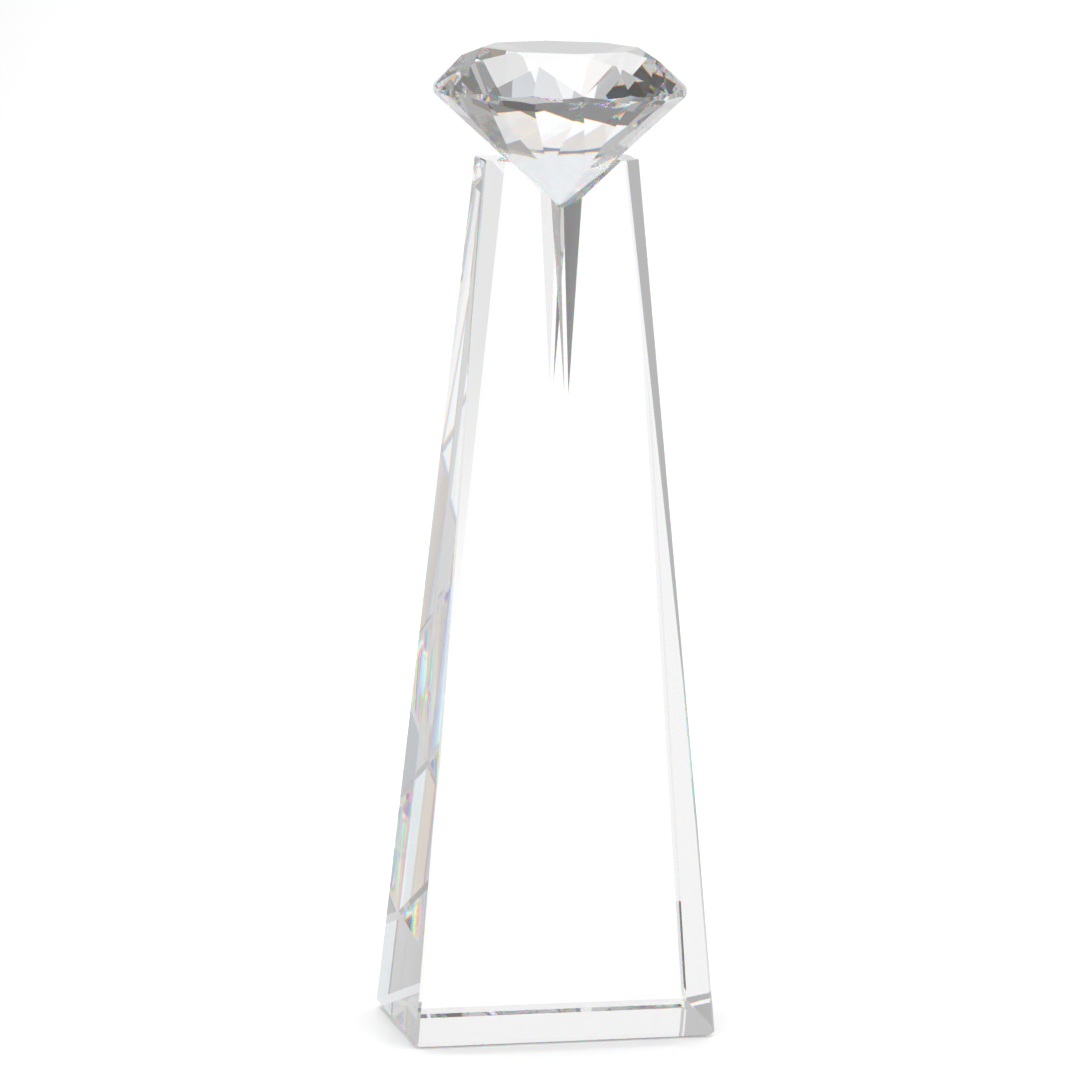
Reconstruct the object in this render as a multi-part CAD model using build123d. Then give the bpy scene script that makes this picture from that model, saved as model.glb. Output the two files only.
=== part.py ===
from build123d import *
import math
import os

# Crystal award: a round brilliant stone held in a notch at the top of a tall tapered crystal tower.
# The award stands on z = 0, centred on the Z axis. +X is the award's right, and the front faces -Y.

# Tower
TOWER_HEIGHT = 278.4
BASE_WIDTH = 98.0
BASE_DEPTH = 60.6
TOP_WIDTH = 50.0
TOP_DEPTH = 20.6

# Tapered bevels on the two front corners: nothing at BEVEL_START, widest at the top
BEVEL_START = 58.0
BEVEL_TOP_LEG = 5.8

# Widths of the small polished facets that ease the tower's edges
UPRIGHT_EASE = 1.2
BEVEL_EASE = 1.1
BASE_EASE = 2.2
TOP_EASE = 0.5

# Stone: a round brilliant with 8-fold symmetry
GIRDLE_RADIUS = 40.0
GIRDLE_THICKNESS = 2.6
PAVILION_ANGLE = 42.0
CROWN_ANGLE = 38.3
TABLE_RADIUS = 25.0
STAR_RADIUS = 31.9
LOWER_GIRDLE_RADIUS = 15.3
CULET_RADIUS = 0.8
FOLD = 8

# Seat: the notch's two slopes face two opposite pavilion mains of the stone. The stone sits turned by
# a few degrees, so the clear adhesive under it is a thin wedge
NOTCH_APEX_HEIGHT = 262.45
NOTCH_FLOOR_WIDTH = 1.1
NOTCH_OPENING_ABOVE_TOP = 10.0
STONE_TURN = -3.1
STONE_LIFT = 0.37

# Flutes below the notch, one on the front face and one on the back
FLUTE_TIP_HEIGHT = 205.5
FLUTE_FLOOR_WIDTH = 1.3
FLUTE_TOP_HEIGHT = 264.2
FLUTE_TOP_DEPTH = 6.6
FLUTE_TOP_HALF_WIDTH = 4.8

# More than twice the award, so that a cutting block spans it wherever the block starts
REACH = 900.0


def cutting_block(point, outward):
    """A large block that starts at a plane and lies on its outward side."""
    corner = (Align.CENTER, Align.CENTER, Align.MIN)
    return Plane(origin=point, z_dir=outward) * Box(REACH, REACH, REACH, align=corner)


def outward_normal(a, b, c, inside):
    """Unit normal of the plane through a, b and c, pointing away from the point inside."""
    normal = (Vector(b) - Vector(a)).cross(Vector(c) - Vector(a)).normalized()
    return normal if normal.dot(Vector(a) - Vector(inside)) > 0 else -normal


def cut_facet(solid, a, b, c, inside):
    """Grind a flat facet through three points."""
    return solid - cutting_block(a, outward_normal(a, b, c, inside))


def ease_edge(solid, edge_point, normal_1, normal_2, facet_width):
    """Grind a narrow facet of a given width along the edge where two faces meet."""
    middle = (normal_1 + normal_2).normalized()
    half_turn = math.acos(normal_1.dot(normal_2)) / 2
    depth = facet_width * math.tan(half_turn) / 2
    return solid - cutting_block(Vector(edge_point) - middle * depth, middle)


def tower_width(z):
    return BASE_WIDTH + (TOP_WIDTH - BASE_WIDTH) * z / TOWER_HEIGHT


def tower_depth(z):
    return BASE_DEPTH + (TOP_DEPTH - BASE_DEPTH) * z / TOWER_HEIGHT


def tower_blank():
    """The plain tapered block, with its bevels and eased edges."""
    middle = (0, 0, TOWER_HEIGHT / 2)
    block = Box(BASE_WIDTH, BASE_DEPTH, TOWER_HEIGHT, align=(Align.CENTER, Align.CENTER, Align.MIN))
    side_lean = (BASE_WIDTH - TOP_WIDTH) / 2
    face_lean = (BASE_DEPTH - TOP_DEPTH) / 2
    side = {s: Vector(s * TOWER_HEIGHT, 0, side_lean).normalized() for s in (-1, 1)}
    face = {s: Vector(0, s * TOWER_HEIGHT, face_lean).normalized() for s in (-1, 1)}
    for s in (-1, 1):
        block -= cutting_block((s * BASE_WIDTH / 2, 0, 0), side[s])
        block -= cutting_block((0, s * BASE_DEPTH / 2, 0), face[s])

    front = face[-1]
    for s in (-1, 1):
        run_out = (s * tower_width(BEVEL_START) / 2, -tower_depth(BEVEL_START) / 2, BEVEL_START)
        on_front = (s * (TOP_WIDTH / 2 - BEVEL_TOP_LEG), -TOP_DEPTH / 2, TOWER_HEIGHT)
        on_side = (s * TOP_WIDTH / 2, -TOP_DEPTH / 2 + BEVEL_TOP_LEG, TOWER_HEIGHT)
        bevel = outward_normal(run_out, on_front, on_side, middle)
        block -= cutting_block(run_out, bevel)
        block = ease_edge(block, on_front, front, bevel, BEVEL_EASE)
        block = ease_edge(block, on_side, bevel, side[s], BEVEL_EASE)
        for f in (-1, 1):
            corner = (s * BASE_WIDTH / 2, f * BASE_DEPTH / 2, 0)
            block = ease_edge(block, corner, side[s], face[f], UPRIGHT_EASE)

    down, up = Vector(0, 0, -1), Vector(0, 0, 1)
    for s in (-1, 1):
        block = ease_edge(block, (s * BASE_WIDTH / 2, 0, 0), side[s], down, BASE_EASE)
        block = ease_edge(block, (0, s * BASE_DEPTH / 2, 0), face[s], down, BASE_EASE)
        block = ease_edge(block, (s * TOP_WIDTH / 2, 0, TOWER_HEIGHT), side[s], up, TOP_EASE)
        block = ease_edge(block, (0, s * TOP_DEPTH / 2, TOWER_HEIGHT), face[s], up, TOP_EASE)
    return block


def seat_notch():
    """V-shaped notch, front to back, with a narrow flat floor under the culet."""
    slope = math.tan(math.radians(PAVILION_ANGLE))
    floor_half = NOTCH_FLOOR_WIDTH / 2
    floor_z = NOTCH_APEX_HEIGHT + floor_half * slope
    open_z = TOWER_HEIGHT + NOTCH_OPENING_ABOVE_TOP
    open_half = (open_z - NOTCH_APEX_HEIGHT) / slope
    outline = Polyline((-floor_half, floor_z), (floor_half, floor_z), (open_half, open_z),
                       (-open_half, open_z), close=True)
    return extrude(Plane.XZ * make_face(outline), BASE_DEPTH, both=True)


def flute(side):
    """Tapering V flute with a flat floor, on the front (side -1) or the back (side 1)."""
    tip_y = tower_depth(FLUTE_TIP_HEIGHT) / 2
    top_face_y = tower_depth(FLUTE_TOP_HEIGHT) / 2
    top_y = top_face_y - FLUTE_TOP_DEPTH
    floor_half = FLUTE_FLOOR_WIDTH / 2
    tip = (0, side * tip_y, FLUTE_TIP_HEIGHT)
    outside = (0, side * BASE_DEPTH, FLUTE_TOP_HEIGHT)
    cutter = Pos(0, side * BASE_DEPTH / 2, FLUTE_TOP_HEIGHT) * Box(BASE_WIDTH, BASE_DEPTH, 2 * BASE_WIDTH)
    floor = (tip, (floor_half, *tip[1:]), (0, side * top_y, FLUTE_TOP_HEIGHT))
    cutter = cut_facet(cutter, *floor, inside=outside)
    for s in (-1, 1):
        foot = (s * floor_half, side * tip_y, FLUTE_TIP_HEIGHT)
        head = (s * floor_half, side * top_y, FLUTE_TOP_HEIGHT)
        lip = (s * FLUTE_TOP_HALF_WIDTH, side * top_face_y, FLUTE_TOP_HEIGHT)
        cutter = cut_facet(cutter, foot, head, lip, inside=outside)
    return cutter


def ring_point(radius, turn, z):
    """A point at a radius and height, turned by a fraction of one fold of the stone."""
    angle = 2 * math.pi * turn / FOLD
    return (radius * math.cos(angle), radius * math.sin(angle), z)


def cut_ring(stone, corners, inside):
    """Grind one facet through three (radius, turn, z) corners, repeated round the stone."""
    for k in range(FOLD):
        points = [ring_point(radius, turn + k, z) for radius, turn, z in corners]
        stone = cut_facet(stone, *points, inside=inside)
    return stone


def brilliant_stone(apex_z):
    """Round brilliant whose pavilion mains would meet at apex_z."""
    pavilion = math.tan(math.radians(PAVILION_ANGLE))
    crown = math.tan(math.radians(CROWN_ANGLE))
    half_turn_cos = math.cos(math.pi / FOLD)
    girdle_low = apex_z + GIRDLE_RADIUS * pavilion
    girdle_high = girdle_low + GIRDLE_THICKNESS
    table_z = girdle_high + (GIRDLE_RADIUS - TABLE_RADIUS) * crown
    culet_z = apex_z + CULET_RADIUS * pavilion
    star_z = girdle_high + (GIRDLE_RADIUS - STAR_RADIUS * half_turn_cos) * crown
    lower_z = apex_z + LOWER_GIRDLE_RADIUS * half_turn_cos * pavilion
    centre = (0, 0, girdle_low)

    stone = Pos(0, 0, culet_z) * Cylinder(GIRDLE_RADIUS, table_z - culet_z,
                                          align=(Align.CENTER, Align.CENTER, Align.MIN))
    main_touch = (GIRDLE_RADIUS, 0, girdle_low)
    bezel_touch = (GIRDLE_RADIUS, 0, girdle_high)
    table_corner = (TABLE_RADIUS, 0, table_z)
    lower_corner = (LOWER_GIRDLE_RADIUS, 0.5, lower_z)
    star_corner = (STAR_RADIUS, 0.5, star_z)
    stone = cut_ring(stone, (lower_corner, (LOWER_GIRDLE_RADIUS, -0.5, lower_z), main_touch), centre)
    stone = cut_ring(stone, (star_corner, (STAR_RADIUS, -0.5, star_z), bezel_touch), centre)
    stone = cut_ring(stone, (table_corner, (TABLE_RADIUS, 1, table_z), star_corner), centre)
    for s in (-1, 1):
        mirrored = [(radius, s * turn, z) for radius, turn, z in (lower_corner, star_corner)]
        low = (main_touch, (GIRDLE_RADIUS, 0.5 * s, girdle_low), mirrored[0])
        high = (bezel_touch, (GIRDLE_RADIUS, 0.5 * s, girdle_high), mirrored[1])
        stone = cut_ring(stone, low, centre)
        stone = cut_ring(stone, high, centre)
    return stone


def seat_adhesive(side, stone):
    """Clear adhesive that fills the gap between a slope of the notch and a pavilion main of the stone."""
    angle = math.radians(PAVILION_ANGLE)
    widest = LOWER_GIRDLE_RADIUS * math.cos(math.pi / FOLD)
    widest_half = LOWER_GIRDLE_RADIUS * math.sin(math.pi / FOLD)
    first = CULET_RADIUS
    last = (TOWER_HEIGHT - TOP_EASE - NOTCH_APEX_HEIGHT) / math.tan(angle)
    first_half = widest_half * first / widest
    last_half = widest_half * (GIRDLE_RADIUS - last) / (GIRDLE_RADIUS - widest)
    outline = [(first, first_half), (widest, widest_half), (last, last_half)]
    along_slope = [(x / math.cos(angle), half) for x, half in outline]
    mirrored = [(u, -half) for u, half in reversed(along_slope)]
    slope = Plane(origin=(0, 0, NOTCH_APEX_HEIGHT), x_dir=(side * math.cos(angle), 0, math.sin(angle)),
                  z_dir=(-side * math.sin(angle), 0, math.cos(angle)))
    bed = make_face(Polyline(*along_slope, *mirrored, close=True))
    return slope * extrude(bed, 2 * STONE_LIFT, dir=(0, 0, 1)) - stone


def crystal_tower():
    return tower_blank() - seat_notch() - flute(-1) - flute(1)


def crystal_diamond():
    return Rot(0, 0, STONE_TURN) * brilliant_stone(NOTCH_APEX_HEIGHT + STONE_LIFT)


os.makedirs("parts", exist_ok=True)
diamond = crystal_diamond()
export_step(crystal_tower(), "parts/crystal_tower.step")
export_step(diamond, "parts/crystal_diamond.step")
export_step(seat_adhesive(-1, diamond), "parts/seat_adhesive_left.step")
export_step(seat_adhesive(1, diamond), "parts/seat_adhesive_right.step")
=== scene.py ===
import math
from collections import namedtuple

import bpy
from mathutils import Matrix, Vector


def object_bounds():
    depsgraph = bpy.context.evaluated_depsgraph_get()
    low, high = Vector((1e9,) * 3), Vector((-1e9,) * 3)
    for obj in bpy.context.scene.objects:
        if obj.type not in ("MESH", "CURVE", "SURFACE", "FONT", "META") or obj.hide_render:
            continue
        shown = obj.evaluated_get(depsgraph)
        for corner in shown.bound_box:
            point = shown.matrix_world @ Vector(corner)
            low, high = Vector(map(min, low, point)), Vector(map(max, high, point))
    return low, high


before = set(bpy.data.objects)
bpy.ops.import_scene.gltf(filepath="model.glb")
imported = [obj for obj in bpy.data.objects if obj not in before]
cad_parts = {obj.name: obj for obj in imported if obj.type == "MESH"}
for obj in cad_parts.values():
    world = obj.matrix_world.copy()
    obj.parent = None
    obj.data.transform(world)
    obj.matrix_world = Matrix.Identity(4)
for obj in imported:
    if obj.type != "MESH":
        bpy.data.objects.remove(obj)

# A crystal award: a round brilliant stone held in the notch of a tapered crystal tower.
# It stands in a white studio. Grey cards round the set give the clear glass its tones.

cad_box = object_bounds()

# Camera: angles in degrees, distances in metres, lens and sensor in millimetres
VIEW_AZIMUTH = -13.6
VIEW_ELEVATION = 9.33
VIEW_ROLL = 0.96
VIEW_DISTANCE = 1.971
TARGET_HEIGHT = 0.1565
TARGET_RIGHT = -0.00389
LENS = 206.7
SENSOR = 36.0

# Optical glass. A spread is how far the index for red or blue is from the index for green.
CROWN_GLASS_IOR = 1.517
RED, GREEN, BLUE = (1, 0, 0, 1), (0, 1, 0, 1), (0, 0, 1, 1)
TOWER_SPREAD = 0.005
STONE_SPREAD = 0.009
CLEAR = (1, 1, 1, 1)
POLISHED = 0.0

# Waves that polishing leaves: their width and heights in metres
WAVE_WIDTH = 0.06
WAVE_DETAIL = 1.0
TOWER_WAVE_HEIGHT = 0.00003
STONE_WAVE_HEIGHT = 0.000002

# Cured adhesive: patches per metre, the strongest sheen and how soft it is
ADHESIVE_PATCHES = 400.0
ADHESIVE_SHEEN = 0.1
ADHESIVE_ROUGHNESS = 0.3

# Surroundings: levels are shares of full white, and the places where they change are elevations
WHITE = 1.0
FLOOR_LIGHT = 1.6
ROOM_LEVEL = 0.55
OVERHEAD_LEVEL = 0.92
LOW_LEVEL = 0.45
OVERHEAD_START = 50
OVERHEAD_FULL = 61
LOW_START = -28
LOW_FULL = -32
NO_TINT = (1, 1, 1, 1)
SKYLIGHT_TINT = (0.94, 0.97, 1.0, 1)

# Soft cards round the set. All but the level are in degrees: azimuth 0 is straight behind the award
# and 90 is to its right. Where two overlap, the later one covers the earlier one.
Card = namedtuple("Card", "azimuth elevation half_width half_height soft_edge level")
CARDS = {
    "white_panel": Card(14, -20, 31, 18, 8, 1.06),
    "left_white": Card(-10, -16, 17, 10, 3, 0.95),
    "bevel_grey": Card(-16.5, -15, 2, 6, 1, 0.5),
    "left_grey": Card(-36, -11, 9, 8, 3, 0.58),
    "left_low_panel": Card(-34, -27, 24, 7, 4, 0.92),
    "right_low_panel": Card(66, -22, 5, 8, 3, 0.9),
    "left_dark": Card(-45, 0, 14, 15, 12, 0.25),
    "left_black": Card(-82, 16, 17, 26, 6, 0.04),
    "back_left": Card(-114, -24, 18, 46, 3, 0.9),
    "top_left_dark": Card(-102, 22, 9, 13, 3, 0.2),
    "right_dark": Card(52, -24, 10, 24, 3, 0.26),
    "right_grey": Card(85, 16, 30, 26, 3, 0.22),
    "high_dark": Card(6, 24, 18, 17, 4, 0.32),
    "front_grey": Card(130, 22, 26, 18, 3, 0.3),
    "low_grey": Card(-12, -60, 50, 18, 3, 0.27),
    "low_right_dark": Card(44, -56, 12, 9, 3, 0.14),
    "near_floor": Card(180, -64, 58, 5, 5, 0.9),
    "left_bevel_panel": Card(36, -7, 6.5, 9, 4, 0.8),
    "upper_right_shade": Card(37, 5, 8, 6, 4, 0.38),
    "window": Card(14, 8, 4, 10, 6, 0.92),
    "right_black": Card(107, 4, 6, 7, 3, 0.05),
    "front_low_dark": Card(155, -26, 8, 6, 3, 0.2),
    "low_window": Card(20, -40, 6, 5, 3, 0.95),
    "right_glint": Card(98, 2, 3, 4, 2, 1.3),
    "back_black": Card(-138, 32, 6, 5, 3, 0.1),
}

# Floor, in metres
FLOOR_GAP = 0.0005
FLOOR_SIZE = 24.0
FLOOR_COLOUR = (0.9, 0.9, 0.9, 1)
FLOOR_ROUGHNESS = 0.12
FLOOR_SPECULAR = 0.15

# How often light may turn on its way
GLASS_BOUNCES = 96
DIFFUSE_BOUNCES = 3
TRANSPARENT_BOUNCES = 16

# Sockets of Blender's Mix node for each kind of data: share, low and high, then the result
MIX_SOCKETS = {"FLOAT": (0, 2, 3, 0), "RGBA": (0, 6, 7, 2)}


def make_camera():
    """Camera at the viewing angle, with a small roll."""
    a, e, roll = (math.radians(v) for v in (VIEW_AZIMUTH, VIEW_ELEVATION, VIEW_ROLL))
    back = Vector((math.sin(a) * math.cos(e), -math.cos(a) * math.cos(e), math.sin(e)))
    right = Vector((math.cos(a), math.sin(a), 0))
    up = back.cross(right)
    axis_x = right * math.cos(roll) + up * math.sin(roll)
    axis_y = up * math.cos(roll) - right * math.sin(roll)
    place = right * TARGET_RIGHT + Vector((0, 0, TARGET_HEIGHT)) + back * VIEW_DISTANCE
    data = bpy.data.cameras.new("camera")
    data.lens = LENS
    data.sensor_width = SENSOR
    camera = bpy.data.objects.new("camera", data)
    turn = Matrix((axis_x, axis_y, back)).transposed().to_4x4()
    camera.matrix_world = Matrix.Translation(place) @ turn
    bpy.context.scene.collection.objects.link(camera)
    bpy.context.scene.camera = camera


class Nodes:
    """Short calls for building a node tree."""

    def __init__(self, tree):
        self.tree = tree
        tree.nodes.clear()

    def add(self, kind, **settings):
        node = self.tree.nodes.new(kind)
        for name, value in settings.items():
            setattr(node, name, value)
        return node

    def link(self, source, target):
        self.tree.links.new(source, target)

    def feed(self, socket, value):
        """Link an output to a socket, or set the socket's own value."""
        if isinstance(value, bpy.types.NodeSocket):
            self.link(value, socket)
        else:
            socket.default_value = value

    def math(self, operation, *values):
        node = self.add("ShaderNodeMath", operation=operation)
        for socket, value in zip(node.inputs, values):
            self.feed(socket, value)
        return node.outputs[0]

    def smooth(self, value, start, full):
        """0 up to start and 1 from full on, with a soft step between. full may be the lower one."""
        node = self.add("ShaderNodeMapRange", interpolation_type="SMOOTHSTEP")
        for name, amount in (("Value", value), ("From Min", start), ("From Max", full)):
            self.feed(node.inputs[name], amount)
        return node.outputs[0]

    def mix(self, share, low, high, data_type="FLOAT"):
        """low where share is 0, high where it is 1."""
        node = self.add("ShaderNodeMix", data_type=data_type)
        *sockets, result = MIX_SOCKETS[data_type]
        for socket, value in zip(sockets, (share, low, high)):
            self.feed(node.inputs[socket], value)
        return node.outputs[result]


def soft_card(n, azimuth, elevation, card):
    """Mask of one card: 1 inside, 0 outside, with a soft edge."""
    away = n.math("SUBTRACT", azimuth, card.azimuth)
    turn = n.math("ABSOLUTE", n.math("WRAP", away, 180, -180))
    rise = n.math("ABSOLUTE", n.math("SUBTRACT", elevation, card.elevation))
    soft = card.soft_edge / 2
    across = n.smooth(turn, card.half_width + soft, card.half_width - soft)
    upright = n.smooth(rise, card.half_height + soft, card.half_height - soft)
    return n.math("MULTIPLY", across, upright)


def make_world():
    """A studio of greys and whites that only the glass shows. The camera sees plain white, and the floor
    gets its own even light."""
    world = bpy.data.worlds.new("studio")
    bpy.context.scene.world = world
    world.use_nodes = True
    world.cycles.sampling_method = "NONE"
    n = Nodes(world.node_tree)
    direction = n.add("ShaderNodeTexCoord").outputs["Generated"]
    split = n.add("ShaderNodeSeparateXYZ")
    n.link(direction, split.inputs[0])
    x, y, z = split.outputs
    azimuth = n.math("DEGREES", n.math("ARCTAN2", x, y))
    elevation = n.math("DEGREES", n.math("ARCSINE", z))
    overhead = n.smooth(elevation, OVERHEAD_START, OVERHEAD_FULL)
    level = n.mix(overhead, ROOM_LEVEL, OVERHEAD_LEVEL)
    level = n.mix(n.smooth(elevation, LOW_START, LOW_FULL), level, LOW_LEVEL)
    for card in CARDS.values():
        level = n.mix(soft_card(n, azimuth, elevation, card), level, card.level)
    path = n.add("ShaderNodeLightPath").outputs
    level = n.mix(path["Is Diffuse Ray"], level, FLOOR_LIGHT)
    tinted = n.mix(path["Is Diffuse Ray"], overhead, 0)
    background = n.add("ShaderNodeBackground")
    n.link(n.mix(tinted, NO_TINT, SKYLIGHT_TINT, "RGBA"), background.inputs["Color"])
    n.link(n.mix(path["Is Camera Ray"], level, WHITE), background.inputs["Strength"])
    out = n.add("ShaderNodeOutputWorld")
    n.link(background.outputs[0], out.inputs["Surface"])


def make_floor():
    """Plain pale floor just under the base. The glass doesn't show it, so its tones come from the cards."""
    material = bpy.data.materials.new("studio_floor")
    material.use_nodes = True
    n = Nodes(material.node_tree)
    shader = n.add("ShaderNodeBsdfPrincipled")
    shader.inputs["Base Color"].default_value = FLOOR_COLOUR
    shader.inputs["Roughness"].default_value = FLOOR_ROUGHNESS
    shader.inputs["Specular IOR Level"].default_value = FLOOR_SPECULAR
    out = n.add("ShaderNodeOutputMaterial")
    n.link(shader.outputs[0], out.inputs["Surface"])
    bpy.ops.mesh.primitive_plane_add(size=FLOOR_SIZE, location=(0, 0, cad_box[0].z - FLOOR_GAP))
    floor = bpy.context.object
    floor.name = "floor"
    floor.data.materials.append(material)
    floor.visible_transmission = False
    floor.visible_glossy = False


def polish_waves(n, height):
    """Faint waves that hand polishing leaves on the glass."""
    noise = n.add("ShaderNodeTexNoise")
    noise.inputs["Scale"].default_value = 1 / WAVE_WIDTH
    noise.inputs["Detail"].default_value = WAVE_DETAIL
    n.link(n.add("ShaderNodeTexCoord").outputs["Object"], noise.inputs["Vector"])
    bump = n.add("ShaderNodeBump")
    bump.inputs["Distance"].default_value = height
    n.link(noise.outputs[0], bump.inputs["Height"])
    return bump.outputs[0]


def prism_glass(n, spread, normal):
    """Glass that bends red, green and blue by slightly different amounts where light enters it."""
    whole = None
    for colour, shift in ((RED, -spread), (GREEN, 0), (BLUE, spread)):
        glass = n.add("ShaderNodeBsdfGlass")
        glass.inputs["Color"].default_value = colour
        glass.inputs["Roughness"].default_value = POLISHED
        glass.inputs["IOR"].default_value = CROWN_GLASS_IOR + shift
        n.link(normal, glass.inputs["Normal"])
        if whole is None:
            whole = glass.outputs[0]
            continue
        both = n.add("ShaderNodeAddShader")
        n.link(whole, both.inputs[0])
        n.link(glass.outputs[0], both.inputs[1])
        whole = both.outputs[0]
    return whole


def glass_material(name, spread, wave_height):
    """Clear crystal: it splits colours where light enters, and is plain glass from the inside."""
    material = bpy.data.materials.new(name)
    material.use_nodes = True
    n = Nodes(material.node_tree)
    normal = polish_waves(n, wave_height)
    shader = n.add("ShaderNodeBsdfPrincipled")
    shader.inputs["Base Color"].default_value = CLEAR
    shader.inputs["Roughness"].default_value = POLISHED
    shader.inputs["IOR"].default_value = CROWN_GLASS_IOR
    shader.inputs["Transmission Weight"].default_value = 1.0
    n.link(normal, shader.inputs["Normal"])
    side = n.add("ShaderNodeMixShader")
    n.link(n.add("ShaderNodeNewGeometry").outputs["Backfacing"], side.inputs[0])
    n.link(prism_glass(n, spread, normal), side.inputs[1])
    n.link(shader.outputs[0], side.inputs[2])
    out = n.add("ShaderNodeOutputMaterial")
    n.link(side.outputs[0], out.inputs["Surface"])
    return material


def film_material():
    """Clear cured adhesive: light goes straight through, with a faint uneven sheen."""
    material = bpy.data.materials.new("clear_adhesive")
    material.use_nodes = True
    n = Nodes(material.node_tree)
    noise = n.add("ShaderNodeTexNoise")
    noise.inputs["Scale"].default_value = ADHESIVE_PATCHES
    n.link(n.add("ShaderNodeTexCoord").outputs["Object"], noise.inputs["Vector"])
    sheen = n.add("ShaderNodeBsdfGlossy")
    sheen.inputs["Roughness"].default_value = ADHESIVE_ROUGHNESS
    blend = n.add("ShaderNodeMixShader")
    n.link(n.math("MULTIPLY", noise.outputs[0], ADHESIVE_SHEEN), blend.inputs[0])
    n.link(n.add("ShaderNodeBsdfTransparent").outputs[0], blend.inputs[1])
    n.link(sheen.outputs[0], blend.inputs[2])
    out = n.add("ShaderNodeOutputMaterial")
    n.link(blend.outputs[0], out.inputs["Surface"])
    return material


def dress(node, material):
    """Give a CAD node its material."""
    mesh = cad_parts[node].data
    mesh.materials.clear()
    mesh.materials.append(material)


def set_render_paths():
    """Enough bounces for light to find its way through solid glass."""
    scene = bpy.context.scene
    scene.view_settings.view_transform = "Standard"
    scene.cycles.max_bounces = GLASS_BOUNCES
    scene.cycles.transmission_bounces = GLASS_BOUNCES
    scene.cycles.glossy_bounces = GLASS_BOUNCES
    scene.cycles.diffuse_bounces = DIFFUSE_BOUNCES
    scene.cycles.transparent_max_bounces = TRANSPARENT_BOUNCES


make_camera()
make_world()
make_floor()
dress("crystal_tower", glass_material("tower_crystal", TOWER_SPREAD, TOWER_WAVE_HEIGHT))
dress("crystal_diamond", glass_material("stone_crystal", STONE_SPREAD, STONE_WAVE_HEIGHT))
film = film_material()
dress("seat_adhesive_left", film)
dress("seat_adhesive_right", film)
set_render_paths()
